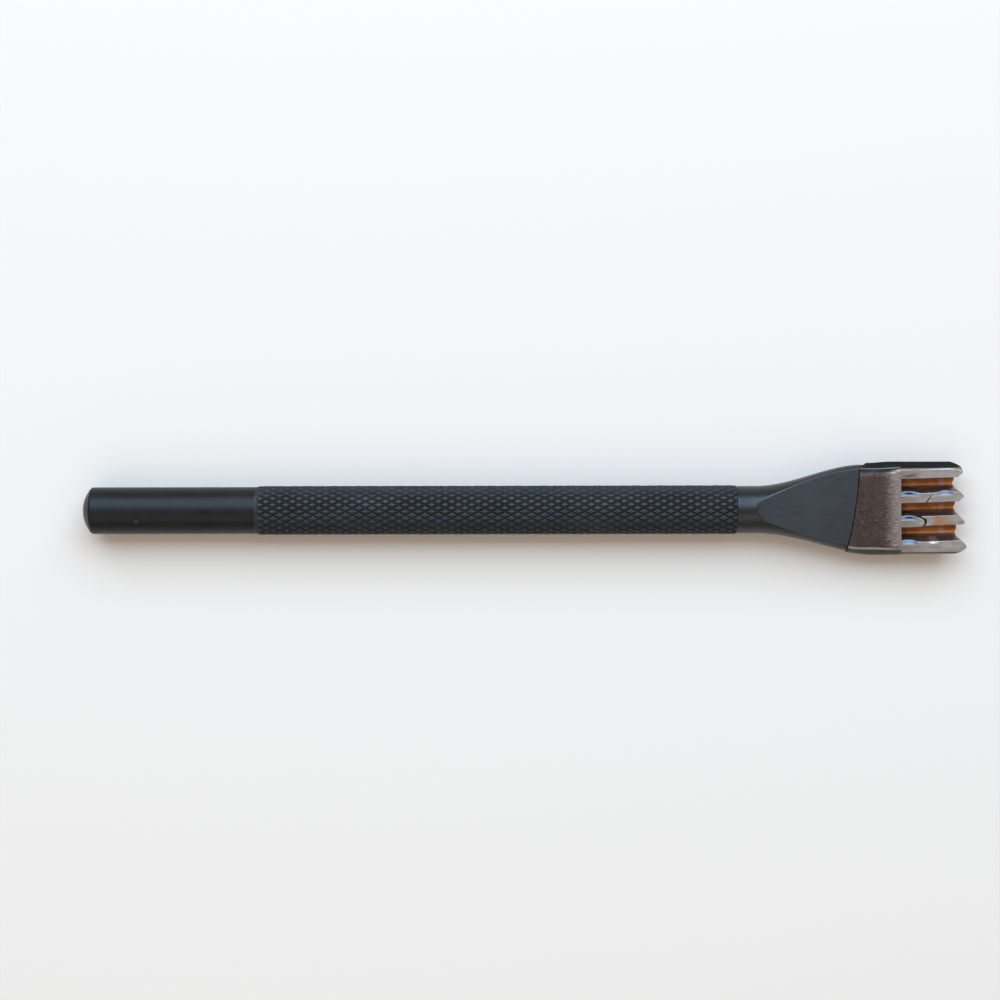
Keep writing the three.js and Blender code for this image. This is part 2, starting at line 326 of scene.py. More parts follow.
def crease_x(y):
    """Where the facets meet the ground faces: a slightly bowed line that leans across the head."""
    return CREASE + CREASE_LEAN * y + CREASE_BOW * (1 - (y / 5) ** 2)


def flare_reach(x, swell):
    """How far one side of the flare reaches from the axis. swell is the swelling's length and its end."""
    length, end = swell
    return NECK_RADIUS + (end - NECK_RADIUS) * smooth(x, NECK_END, NECK_END + length)


def facet_height(x, y):
    """The height of the facets, which are a little hollow near the neck and run in there in a curve."""
    from_neck = x - NECK_END
    hollow = 0.036 * np.maximum(5.5 - from_neck, 0)
    run_in = 0.12 * np.exp(-from_neck / 0.6)
    lean = (0.05 - 0.02 * y) * (1 - smooth(x, 91, 96))
    return ground_height(x, y) + 0.09 * (crease_x(y) - x) + hollow + run_in + lean


def lower_of(a, b, blend):
    """The smaller of two heights, with the corner between them rounded."""
    share = np.clip(0.5 + 0.5 * (b - a) / blend, 0, 1)
    return b + (a - b) * share - blend * share * (1 - share)


def make_flare():
    """The forged flare. Its section grows wider, squarer and then sharper, and the facets cut it."""
    rows, columns = 260, 512
    along = np.linspace(0, 1, rows)[:, None]
    angle = (2 * np.pi * np.arange(columns) / columns)[None, :]
    above = np.cos(angle) > 0
    pinch = np.where(above, FLARE_PINCH_TOP, FLARE_PINCH_BOTTOM)
    x = NECK_END + along * (CREASE - NECK_END) + 0 * angle
    # The width depends on the station and the crease's station on the width, so both are found together.
    for _ in range(4):
        part = (x - NECK_END) / FLARE_TOP[0]
        half_width = np.where(above, flare_reach(x, FLARE_TOP), flare_reach(x, FLARE_BOTTOM))
        power = 2 / (2 + FLARE_SQUARING * smooth(part, 0, 0.4) - pinch * smooth(part, 0.55, 0.95))
        y = half_width * np.sign(np.cos(angle)) * np.abs(np.cos(angle)) ** power
        x = NECK_END + along * (crease_x(y) - NECK_END)
    free = NECK_RADIUS * np.abs(np.sin(angle)) ** power
    cut = facet_height(x, y)
    z = np.sign(np.sin(angle)) * lower_of(free, cut, 0.05)
    unevenness = 0.004 * ripple(0.5 * x, 0.5 * y, 0, 21) * smooth(free, 0.2, 0.6)
    z = z + unevenness * np.sign(z) * smooth(along, 0, 0.1) * smooth(1 - along, 0, 0.1)
    rings = np.stack([x, y, z], axis=-1)
    # A painted highlight line along the facet edges.
    edge = np.exp(-(((free - cut) / 0.035) ** 2)) * smooth(x, NECK_END + 0.1, NECK_END + 1.5)
    facet = smooth(free - cut, 0.0, 0.06)
    # A painted line of shade along the crease, on the facets.
    line = smooth(x - crease_x(y) + 0.05 * ripple(0, 2.5 * y, 0, 22), -0.24, -0.08)
    return loft("flare_forging", rings, {"wear_and_highlight": edge, "facet": facet, "groove": line * facet})


def tooth_y(k):
    return TOP_TOOTH_Y - PITCH * (k - 1)


def upright(x, y, z):
    """A place drawn with upright walls along the bar, moved to where the grooves' slant and skew put it."""
    return y + SLANT * (HEAD_HALF_THICKNESS - z) + TOOTH_SKEW * (x - TIP_MIDDLE)


def unslant(x, y, z):
    """The same move undone."""
    return y - SLANT * (HEAD_HALF_THICKNESS - z) - TOOTH_SKEW * (x - TIP_MIDDLE)


def set_back(y):
    """How far the outline of the tips lies behind the line through their points."""
    back = UPPER_CORNER * (np.maximum(y - TIP_YS[0], 0) / UPPER_CORNER) ** 3
    back = back + LOWER_CORNER * (np.maximum(TIP_YS[-1] - y, 0) / LOWER_CORNER_WIDTH) ** 2
    for above, below in zip(TIP_YS, TIP_YS[1:]):
        share = np.clip((above - y) / (above - below), 0, 1)
        back = back + SCALLOP_DEPTH * np.abs(np.sin(np.pi * share**SCALLOP_BIAS)) ** SCALLOP_FLATNESS
    return back


def outline_x(y):
    """The station where the outline of the tips lies at a place across the head."""
    return TIP_MIDDLE + TIP_LEAN * y - set_back(y)


def tip_span(k, x):
    """The lowest and highest place that one tooth reaches at a station, inside the outline of the tips."""
    span = []
    for way in (-1, 1):
        y = TIP_YS[k - 1] + way * np.linspace(0, 1.6, 161)
        reach = np.minimum.accumulate(outline_x(y))
        span.append(y[-1] + way if x <= reach[-1] else np.interp(-x, -reach, y))
    return span


def bevel_height(x, y):
    """The height of the bevel ground on the back of the tooth tips."""
    rise = (2 * HEAD_HALF_THICKNESS - TIP_THICKNESS) / BACK_BEVEL
    return HEAD_HALF_THICKNESS - TIP_THICKNESS - rise * (TIP_MIDDLE + TIP_LEAN * y - x)


def back_height(x, y):
    return np.maximum(-ground_height(x, y), bevel_height(x, y))


def upper_side(x):
    """The head's +Y side from the back to the front: back corner, wall, edge bevel and shallow bevel.

    A height of None stands for the ground face.
    """
    wall = 5.62 + 0.26 * smooth(x, 96.8, 97.4) + 0.17 * smooth(x, 97.4, 101)
    shallow = 1 - smooth(x, 100, 102.6)
    edge = 5.26 - 0.16 * (1 - smooth(x, 98, 103))
    inner = 4.95 - 0.25 * shallow
    brow = ground_height(x, inner) - 0.02 - 0.08 * shallow
    face = inner - 0.1 - 0.4 * shallow
    return [(wall - 0.2, None), (wall, -0.5), (edge, 0.95), (inner, brow), (face, None)]


def lower_side(x):
    """The head's -Y side from the front to the back. The front edge's bevel runs out on the last tooth."""
    edge = -4.6 - 0.28 * smooth(x, 95.0, 97.5) - 0.1 * smooth(x, 99, 101) - 0.34 * smooth(x, 101.5, 103.5)
    wall = 0.12 * smooth(x, 101.5, 103) - np.minimum(flare_reach(x, FLARE_BOTTOM), 5.7)
    return [(edge, None), (wall + 0.13, 0.84), (wall, 0.1), (wall + 0.13, -0.85), (-5.0, None)]


def make_head():
    """The ground block between the crease and the roots of the grooves."""
    rings, marks = [], []
    for along in np.linspace(0, 1, 110):
        x = CREASE + along * (TOOTH_ROOT - CREASE)
        corners = []
        for i, (y, z) in enumerate(upper_side(x) + lower_side(x)):
            front = 4 <= i <= 5
            corners.append((y, (1 if front else -1) * ground_height(x, y) if z is None else z))
        radii = [0.3, 0.3, 0.1, 0.1, 0.3, 0.2, 0.2, 0.3, 0.3, 0.3]
        # The shine paints highlight lines along the head's edge bevels, brightest on the front face's lower
        # edge.
        outline, near = rounded(corners, radii, [0.3, 0, 0.6, 0, 0, 1, 0, 0, 0, 0.3], edge=12)
        y, z = outline.T
        near = near * (1 - smooth(along, 0.7, 1) * (y < 0))
        leaning = crease_x(y)
        x = leaning + along * (TOOTH_ROOT - leaning)
        rings.append(np.stack([x, y, z], axis=-1))
        marks.append(near)
    rings = np.array(rings)
    x, y, z = np.moveaxis(rings, -1, 0)
    pit = np.exp(-((np.hypot(x - PIT[0], y - PIT[1]) / 0.12) ** 2)) * (z > 0)
    rings[..., 2] -= 0.05 * pit
    return loft("head_block", rings, {"wear_and_highlight": np.array(marks), "bare": bare(rings), "pit": pit})


def bare(rings):
    """1 on the ground front and back, 0 on the side walls."""
    x, y, z = np.moveaxis(rings, -1, 0)
    depth = ground_height(x, y) - np.abs(z)
    return 1 - smooth(depth, 0.03, 0.12)


def run_out(k, x):
    """How far a tooth's upper front edge stands out at its root, and again near tooth 2's tip."""
    out = 1 - smooth(np.abs(x - TOOTH_ROOT - 0.8), 0.3, 1.7) if k > TEETH[0] else 0 * x
    if k == CUT_TOOTH:
        out = out + 0.9 * hill(x, 107.6, 1.7)
    return RUN_OUT * out


def tooth_corners(k, x):
    """One tooth's section at a station, as it is drawn before its slant."""
    middle = tooth_y(k)
    half = TOOTH_WIDTH / 2
    upper = [(middle + half, None), (middle + half + run_out(k, x), None)]
    lower = [(middle - half, None), (middle - half, None)]
    if k == TEETH[0]:
        upper = [(y, HEAD_HALF_THICKNESS if z is None else z) for y, z in upper_side(x)]
        upper = [(unslant(x, y, z), z) for y, z in upper]
        upper[0] = (unslant(x, upper_side(x)[0][0], -HEAD_HALF_THICKNESS), None)
        upper[-1] = (upper[-1][0], None)
    if k == TEETH[-1]:
        lower = [(y, HEAD_HALF_THICKNESS if z is None else z) for y, z in lower_side(x)]
        lower = [(unslant(x, y, z), z) for y, z in lower]
        lower[-1] = (unslant(x, lower_side(x)[-1][0], -HEAD_HALF_THICKNESS), None)
        lower[0] = (lower[0][0], None)
    corners = []
    for i, (y, z) in enumerate(upper + lower):
        if z is None:
            front = i in (len(upper) - 1, len(upper))
            real = upright(x, y, HEAD_HALF_THICKNESS if front else -HEAD_HALF_THICKNESS)
            z = ground_height(x, real) if front else back_height(x, real)
        corners.append((y, max(z, back_height(x, upright(x, y, z)))))
    return corners


def make_tooth(k):
    """One tooth, from its root to its pointed tip."""
    tip = outline_x(TIP_YS[k - 1])
    fine = np.linspace(tip - 2.3, tip - 0.015, 120)
    stations = np.concatenate([np.linspace(TOOTH_ROOT, tip - 2.3, 130)[:-1], fine])
    corner_radii = {1: [0.3, 0.3, 0.1, 0.05, 0.04, 0.03, 0.1], 4: [0.1, 0.04, 0.04, 0.2, 0.3, 0.3, 0.3]}
    radii = corner_radii.get(k, [0.1, 0.04, 0.03, 0.1])
    rings, near_corner = [], []
    for x in stations:
        outline, near = rounded(tooth_corners(k, x), radii, edge=22)
        y, z = outline.T
        rings.append(np.stack([np.full(len(y), x), y, z], axis=-1))
        near_corner.append(near)
    rings = np.array(rings)
    x, y, z = np.moveaxis(rings, -1, 0)
    marks = tooth_marks(k, x, y, z)
    face = ground_height(x, upright(x, y, HEAD_HALF_THICKNESS))
    drop = smooth(z, face - 0.35, face - 0.06) * surface_drop(k, x, y)
    marks["bare"] = 1 - smooth(face - z, 0.03, 0.12)
    marks["wear_and_highlight"] = np.array(near_corner)
    z = z - drop
    y = upright(x, y, z)
    spans = np.array([tip_span(k, station) for station in stations])
    y = np.clip(y, spans[:, :1], spans[:, 1:])
    return loft(f"tooth_blade_{k}", np.stack([x, y, z], axis=-1), marks)


def tooth_marks(k, x, y, z):
    """Where a tooth is darkened with painted shade, given a painted blue reflection, tinted warm, scratched,
    chipped with painted glints or on the head's outside.
    """
    middle = tooth_y(k)
    across = (y - middle) / (TOOTH_WIDTH / 2)
    from_edge = middle + TOOTH_WIDTH / 2 + run_out(k, x) - y
    out = run_out(k, x) / RUN_OUT
    shallow = 1 - smooth(ground_height(x, y) - z, 0.25, 0.6)
    # Painted blue reflection on the run-out scoops at the roots and near tooth 2's tip.
    blued_and_painted_reflection = smooth(out, 0.1, 0.5) * (1 - smooth(from_edge, 0.25, 0.6)) * shallow
    # Painted dark line inside the blue reflection at the roots of teeth 2 and 3.
    spot = hill(x, TOOTH_ROOT + 1.0, 0.85) * hill(from_edge, 0.28, 0.2)
    painted_shade = np.minimum(1.8 * spot, 1) * (k in (CUT_TOOTH, STEP_TOOTH))
    scratched = np.zeros_like(x)
    warm = np.zeros_like(x)
    chip_glint = np.zeros_like(x)
    outer = np.zeros_like(x)
    if k == TEETH[0]:
        scratched = hill(x, 103.4, 1.9) * hill(across, 0.3 * (x - 104.6), 0.8)
        outer = np.maximum(smooth(across, 1.05, 1.2), smooth(tip_bevel(x, y), 0.01, 0.05))
    if k == CUT_TOOTH:
        line = CUT_X + CUT_LEAN * (across + 1)
        thickness = 0.09 - 0.06 * np.clip(across, -1, 1)
        # Painted shade along the cut across tooth 2.
        cut = np.exp(-(((x - line) / thickness) ** 2)) * smooth(-across, -0.75, -0.4)
        painted_shade = np.maximum(painted_shade, cut)
    if k == STEP_TOOTH:
        edge = STEP_X - step_corner(across)
        # Painted shadow below the step on tooth 3.
        shadow = smooth(x - edge, -0.05, 0.1) * smooth(edge - x, -0.46, -0.3)
        painted_shade = np.maximum(painted_shade, shadow * shallow)
        warm = smooth(x, 105.6, 106.5) * (1 - smooth(x, 107.0, 109.0))
    if k == TEETH[-1]:
        # Tooth 4's chipped upper edge, where the material paints white glints.
        chip_glint = hill(x, CHIP_X, 0.95) * smooth(across, 0.45, 0.7)
        outer = smooth(-across, 1.3, 1.45)
    names = ("painted_shade", "blued_and_painted_reflection", "warm", "scratched", "chip_glint", "outer")
    return dict(zip(names, (painted_shade, blued_and_painted_reflection, warm, scratched, chip_glint, outer)))


def tip_bevel(x, y):
    """How far the rounded bevel at tooth 1's tip lies below its face."""
    past = x - (TIP_MIDDLE + TIP_LEAN * TIP_YS[0] - 0.05)
    round_end = np.hypot(np.maximum(past + 1.9, 0) / 1.9, np.maximum(y - TOP_TOOTH_Y + 0.1, 0) / 0.62)
    return 0.9 * np.maximum(round_end - 1, 0)


def step_corner(across):
    """How far the rounded end of the stepped tooth's high part is set back at its two corners."""
    upper = 0.9 * np.clip(across - 0.1, 0, 1) ** 2
    lower = 0.55 * np.clip(-across - 0.2, 0, 1) ** 2
    return upper + lower


def surface_drop(k, x, y):
    """How far a tooth's front is lowered: run-out scoops, the rounded tip, the cut, nicks and the step."""
    middle = tooth_y(k)
    across = (y - middle) / (TOOTH_WIDTH / 2)
    from_edge = middle + TOOTH_WIDTH / 2 + run_out(k, x) - y
    drop = 0.008 * (1 + ripple(1.1 * x, 1.6 * y, 0, 30 + k))
    drop = drop + 0.3 * run_out(k, x) * np.clip(1 - from_edge / 0.57, 0, 1)
    if k == TEETH[0]:
        drop = drop + np.minimum(tip_bevel(x, y), 0.3)
    if k == CUT_TOOTH:
        line = CUT_X + CUT_LEAN * (across + 1)
        drop = drop + 0.03 * np.exp(-(((x - line) / 0.08) ** 2)) * smooth(-across, -0.75, -0.4)
    if k == STEP_TOOTH:
        edge = STEP_X - step_corner(across)
        drop = drop + STEP_DEPTH * smooth(x, edge, edge + STEP_RAMP)
    if k == TEETH[-1]:
        chips = np.abs(np.sin(9.0 * x) * np.sin(23.0 * x + 1.3)) * hill(x, CHIP_X, 0.8)
        drop = drop + 0.1 * chips * np.clip(1 - from_edge / 0.25, 0, 1)
    return drop


def make_web(k):
    """The web under one groove: a floor rounded up into the walls, ending in a scallop between two tips."""
    half = (PITCH - TOOTH_WIDTH) / 2
    middle = tooth_y(k) - PITCH / 2
    across = half * np.sin(np.linspace(-np.pi / 2, np.pi / 2, 61))
    rise = (2 * HEAD_HALF_THICKNESS - TIP_THICKNESS) / BACK_BEVEL
    spacing = np.sin(np.linspace(0, np.pi / 2, 90))
    rings = []
    for offset in across:
        inside = np.clip((GROOVE_FILLET - (half - abs(offset))) / GROOVE_FILLET, 0, 1)
        floor = GROOVE_FLOOR + GROOVE_FILLET * (1 - math.sqrt(1 - inside**2))
        real = upright(TIP_MIDDLE, middle + offset, floor)
        bevel_end = TOOTH_ROOT + (floor - bevel_height(TOOTH_ROOT, real)) / rise
        end = min(float(outline_x(real)), bevel_end - 0.04)
        x = TOOTH_ROOT + (end - TOOTH_ROOT) * spacing
        calm = smooth(x, TOOTH_ROOT, TOOTH_ROOT + 1) * smooth(end - x, 0, 1)
        top = floor + 0.006 * ripple(0.9 * x, 1.2 * offset, 0, 50 + k) * calm
        bottom = back_height(x, real)
        ring_x = np.concatenate([x, x[::-1]])
        ring_z = np.concatenate([top, bottom[::-1]])
        rings.append(np.stack([ring_x, upright(ring_x, middle + offset, ring_z), ring_z], axis=-1))
    # Where the floor rises into the wall on its -Y side; the material paints shade there.
    wall = smooth(-across, 0.55, 0.9)[:, None]
    return loft(f"web_floor_{k}", np.array(rings), {"wall": wall})


# ---------------------------------------------------------------------------------------------------
# Metals


# How much light the oxide and the stained steel turn back at a glancing angle.
EDGE_TINT = (0.6, 0.6, 0.6, 1)


class Metal:
    """A procedural steel. Places in its nodes are in millimetres, in the bar's own frame."""

    def __init__(self, name):
        self.material = bpy.data.materials.new(name)
        self.material.use_nodes = True
        self.nodes = self.material.node_tree.nodes
        self.links = self.material.node_tree.links
        self.shader = self.nodes["Principled BSDF"]
        inside = self.add("ShaderNodeTexCoord").outputs["Object"]
        shift = [-c / MM for c in ORIGIN]
        self.place = self.vector("MULTIPLY_ADD", inside, [1 / MM] * 3, shift)

    def add(self, kind, **settings):
        node = self.nodes.new(kind)
        for key, value in settings.items():
            setattr(node, key, value)
        return node

    def feed(self, socket, value):
        if isinstance(value, bpy.types.NodeSocket):
            self.links.new(value, socket)
        else:
            socket.default_value = value

    def vector(self, operation, *inputs):
        node = self.add("ShaderNodeVectorMath", operation=operation)
        for socket, value in zip(node.inputs, inputs):
            self.feed(socket, value)
        return node.outputs["Vector"]

    def math(self, operation, *inputs, clamp=False):
        node = self.add("ShaderNodeMath", operation=operation, use_clamp=clamp)
        for socket, value in zip(node.inputs, inputs):
            self.feed(socket, value)
        return node.outputs["Value"]

    def mark(self, name):
        return self.add("ShaderNodeAttribute", attribute_name=name).outputs["Fac"]

    def axis(self, letter):
        return self.add_linked("ShaderNodeSeparateXYZ", self.place).outputs[letter]

    def add_linked(self, kind, source, **settings):
        node = self.add(kind, **settings)
        self.links.new(source, node.inputs[0])
        return node

    def noise(self, stretch, detail=3.0, roughness=0.55, distortion=0.0):
        node = self.add("ShaderNodeTexNoise")
        node.inputs["Scale"].default_value = 1.0
        node.inputs["Detail"].default_value = detail
        node.inputs["Roughness"].default_value = roughness
        node.inputs["Distortion"].default_value = distortion
        self.links.new(self.vector("MULTIPLY", self.place, list(stretch)), node.inputs["Vector"])
        return node.outputs["Fac"]

    def steps(self, value, low, high, start=0.0, end=1.0):
        """Maps low..high to start..end, held at both ends."""
        node = self.add("ShaderNodeMapRange", clamp=True)
        for socket, number in zip(node.inputs, (value, low, high, start, end)):
            self.feed(socket, number)
        return node.outputs["Result"]

    def blend(self, share, first, second):
        node = self.add("ShaderNodeMix", data_type="RGBA")
        self.feed(node.inputs[0], share)
        for socket, value in zip((node.inputs[6], node.inputs[7]), (first, second)):
            self.feed(socket, (*value, 1) if isinstance(value, tuple) else value)
        return node.outputs[2]

    def mixed(self, share, first, second):
        """The same as blend, for plain numbers."""
        node = self.add("ShaderNodeMix", data_type="FLOAT")
        self.feed(node.inputs[0], share)
        self.feed(node.inputs[2], first)
        self.feed(node.inputs[3], second)
        return node.outputs[0]

    def bump(self, height, distance, under=None):
        node = self.add("ShaderNodeBump")
        node.inputs["Distance"].default_value = distance * MM
        self.links.new(height, node.inputs["Height"])
        if under is not None:
            self.links.new(under, node.inputs["Normal"])
        return node.outputs["Normal"]

    def finish(self, colour, roughness, normal=None, **constants):
        self.feed(self.shader.inputs["Base Color"], colour)
        self.feed(self.shader.inputs["Roughness"], roughness)
        if normal is not None:
            self.feed(self.shader.inputs["Normal"], normal)
        for name, value in constants.items():
            self.shader.inputs[name.replace("_", " ")].default_value = value
        return self.material


def oxide_metal():
    """Satin black oxide on turned steel: faint turning rings, oil mottling, bright where it is worn."""
    m = Metal("black_oxide_steel")
    mottle = m.noise((0.35, 0.8, 0.8), detail=4)
    rings = m.noise((24, 0.6, 0.6), detail=2)
    specks = m.noise((7, 9, 9), detail=2)
    dark = m.blend(m.steps(mottle, 0.3, 0.7), (0.019, 0.019, 0.020), (0.027, 0.026, 0.026))
    dark = m.blend(m.steps(specks, 0.70, 0.78), dark, (0.060, 0.055, 0.050))
    worn = m.math("MULTIPLY", m.mark("wear_and_highlight"), m.steps(specks, 0.25, 0.6), clamp=True)
    colour = m.blend(worn, dark, (0.17, 0.16, 0.15))
    rough = m.math("ADD", m.steps(mottle, 0.3, 0.7, 0.38, 0.45), m.steps(rings, 0.3, 0.7, -0.02, 0.03))
    normal = m.bump(rings, 0.002, m.bump(mottle, 0.01))
    return m.finish(colour, rough, normal, Metallic=0.85)


def knurl_metal():
    """The same oxide on the knurl: crests rubbed slightly lighter, and painted shade darkening the grooves.
    """
    m = Metal("black_oxide_knurl")
    mottle = m.noise((0.3, 0.8, 0.8), detail=4)
    grit = m.noise((9, 11, 11), detail=3)
    dark = m.blend(m.steps(mottle, 0.3, 0.7), (0.031, 0.032, 0.034), (0.047, 0.047, 0.048))
    crest = m.math("MULTIPLY", m.mark("wear_and_highlight"), m.steps(grit, 0.42, 0.72), clamp=True)
    colour = m.blend(m.math("MULTIPLY", crest, 0.4), dark, (0.10, 0.10, 0.10))
    # Painted shade in the grooves of the knurl.
    colour = m.blend(m.steps(m.mark("groove"), 0.6, 1.0, 0.0, 0.6), colour, (0.013, 0.012, 0.011))
    rough = m.math("ADD", m.steps(grit, 0.3, 0.7, 0.42, 0.54), m.steps(m.mark("groove"), 0.3, 1.0, 0.0, 0.15))
    return m.finish(colour, rough, m.bump(grit, 0.010), Metallic=0.85)


def flare_metal():
    """Black oxide on the forging, blue-black on its facets, which keep fine lengthwise grinding lines; a
    painted highlight line along the facet edges, and painted shade along the crease and where the neck meets
    the knurl.
    """
    m = Metal("blued_flare_steel")
    mottle = m.noise((0.35, 0.6, 0.6), detail=4)
    grain = m.noise((0.5, 24, 6), detail=3, roughness=0.6)
    specks = m.noise((6, 8, 8), detail=2)
    skin = m.blend(m.steps(mottle, 0.3, 0.7), (0.034, 0.035, 0.036), (0.050, 0.049, 0.048))
    facet = m.blend(m.steps(mottle, 0.3, 0.7), (0.047, 0.048, 0.050), (0.056, 0.056, 0.058))
    facet = m.blend(m.steps(grain, 0.42, 0.65, 0.0, 0.7), facet, (0.084, 0.081, 0.079))
    colour = m.blend(m.mark("facet"), skin, facet)
    colour = m.blend(m.steps(specks, 0.72, 0.80, 0.0, 0.5), colour, (0.11, 0.11, 0.11))
    # Painted highlight along the facet edges.
    edge = m.math("MULTIPLY", m.mark("wear_and_highlight"), m.steps(mottle, 0.25, 0.6, 0.25, 0.8), clamp=True)
    colour = m.blend(edge, colour, (0.12, 0.13, 0.14))
    # Painted shade: a near-black line along the crease and a dark ring where the neck meets the knurl.
    colour = m.blend(m.steps(m.mark("groove"), 0.2, 0.8, 0.0, 0.95), colour, (0.006, 0.006, 0.007))
    base_rough = m.steps(m.mark("facet"), 0.0, 1.0, 0.31, 0.38)
    rough = m.math("ADD", base_rough, m.steps(grain, 0.3, 0.7, -0.03, 0.06))
    normal = m.bump(grain, 0.004, m.bump(mottle, 0.008))
    return m.finish(colour, rough, normal, Metallic=0.85)


def feather(m, fine):
    """The bright streaks that lead from the browned face onto the teeth."""
    return m.blend(m.steps(fine, 0.36, 0.58), (0.125, 0.085, 0.062), (0.40, 0.30, 0.24))


def side_metal(m, patch):
    """The dark oxide that is left on the sides of the head, with a browner, lighter copy on its -Y side that
    is painted light.
    """
    dark = m.blend(m.steps(patch, 0.3, 0.7), (0.012, 0.012, 0.013), (0.022, 0.021, 0.020))
    light = m.blend(m.steps(patch, 0.3, 0.7), (0.070, 0.064, 0.055), (0.120, 0.110, 0.096))
    # Painted light: the -Y side takes the lighter, browner copy of the oxide.
    return m.blend(m.steps(m.axis("Y"), -4.6, -4.4), light, dark)


def head_metal():
    """Bare ground steel, browned at the crease and bright towards the teeth, with dark oxide sides painted
    lighter on the -Y side, and painted highlight lines along the edge bevels.
    """
    m = Metal("ground_head_steel")
    along = m.axis("X")
    fine = m.noise((1.1, 30, 4), detail=4, roughness=0.65)
    pits = m.noise((6, 7.5, 7.5), detail=4, roughness=0.7)
    patch = m.noise((0.8, 0.9, 0.9), detail=4)
    brown = m.blend(m.steps(patch, 0.35, 0.65), (0.058, 0.035, 0.026), (0.084, 0.053, 0.041))
    brown = m.blend(m.steps(pits, 0.54, 0.70, 0.0, 0.9), brown, (0.20, 0.145, 0.12))
    brown = m.blend(m.steps(pits, 0.32, 0.44, 0.8, 0.0), brown, (0.024, 0.016, 0.013))
    reach = m.math("ADD", along, m.steps(fine, 0.3, 0.7, -1.3, 1.3))
    front = m.blend(m.steps(reach, 100.3, 101.6), brown, feather(m, fine))
    front = m.blend(m.mark("pit"), front, (0.015, 0.015, 0.017))
    colour = m.blend(m.mark("bare"), side_metal(m, patch), front)
    # Painted highlight lines along the edge bevels, lightened towards pale grey.
    edge = m.math("MULTIPLY", m.mark("wear_and_highlight"), m.steps(pits, 0.3, 0.6, 0.4, 1.0), clamp=True)
    colour = m.blend(edge, colour, (0.46, 0.45, 0.43))
    rough = m.steps(pits, 0.3, 0.7, 0.32, 0.50)
    rough = m.mixed(m.steps(along, 100.0, 102.0), rough, 0.34)
    normal = m.bump(fine, 0.010, m.bump(pits, 0.020))
    return m.finish(colour, rough, normal, Metallic=0.92, Specular_Tint=EDGE_TINT)


def tooth_metal():
    """Bare polished steel on the teeth, with scratches, tints, painted shade, a painted blue reflection and
    painted glints on chips, and dark walls in the grooves.
    """
    m = Metal("polished_tooth_steel")
    along = m.axis("X")
    fine = m.noise((1.1, 30, 4), detail=4, roughness=0.65)
    patch = m.noise((0.8, 1.4, 1.4), detail=4)
    pits = m.noise((7, 9, 9), detail=3)
    face = m.blend(m.steps(patch, 0.3, 0.7), (0.35, 0.275, 0.23), (0.50, 0.41, 0.36))
    face = m.blend(m.steps(fine, 0.28, 0.42, 0.6, 0.0), face, (0.17, 0.13, 0.105))
    reach = m.math("ADD", along, m.steps(fine, 0.3, 0.7, 1.2, -1.2))
    face = m.blend(m.steps(reach, 102.4, 105.2), feather(m, fine), face)
    scratch = m.math("MULTIPLY", m.steps(fine, 0.44, 0.52, 1.0, 0.0), m.mark("scratched"))
    face = m.blend(scratch, face, (0.022, 0.021, 0.022))
    face = m.blend(m.math("MULTIPLY", m.mark("warm"), 0.9), face, (0.46, 0.215, 0.105))
    face = m.blend(m.steps(pits, 0.72, 0.80, 0.0, 0.6), face, (0.60, 0.55, 0.50))
    wall = m.blend(m.steps(patch, 0.35, 0.7), (0.21, 0.175, 0.16), (0.38, 0.31, 0.27))
    wall = m.blend(m.mark("outer"), wall, side_metal(m, patch))
    colour = m.blend(m.mark("bare"), wall, face)
    edge = m.math("MULTIPLY", m.mark("wear_and_highlight"), m.steps(patch, 0.3, 0.6, 0.2, 0.8), clamp=True)
    colour = m.blend(m.math("MULTIPLY", edge, m.mark("bare")), colour, (0.42, 0.42, 0.42))
    # A painted blue reflection on the run-out scoops.
    blue = m.blend(m.steps(patch, 0.35, 0.65), (0.085, 0.125, 0.175), (0.13, 0.18, 0.235))
    colour = m.blend(m.math("MULTIPLY", m.mark("blued_and_painted_reflection"), m.steps(fine, 0.3, 0.6, 0.7, 0.95)), colour, blue)
    # Painted shade, near black.
    colour = m.blend(m.math("MULTIPLY", m.mark("painted_shade"), 0.95), colour, (0.010, 0.010, 0.012))
    # Painted glints: near-white sparks on the chips of tooth 4.
    sparkle = m.math("MULTIPLY", m.mark("chip_glint"), m.steps(pits, 0.42, 0.50), clamp=True)
    colour = m.blend(sparkle, colour, (0.95, 0.90, 0.80))
    rough = m.steps(fine, 0.3, 0.7, 0.37, 0.31)
    normal = m.bump(fine, 0.008, m.bump(patch, 0.012))
    return m.finish(colour, rough, normal, Metallic=0.95, Specular_Tint=EDGE_TINT)


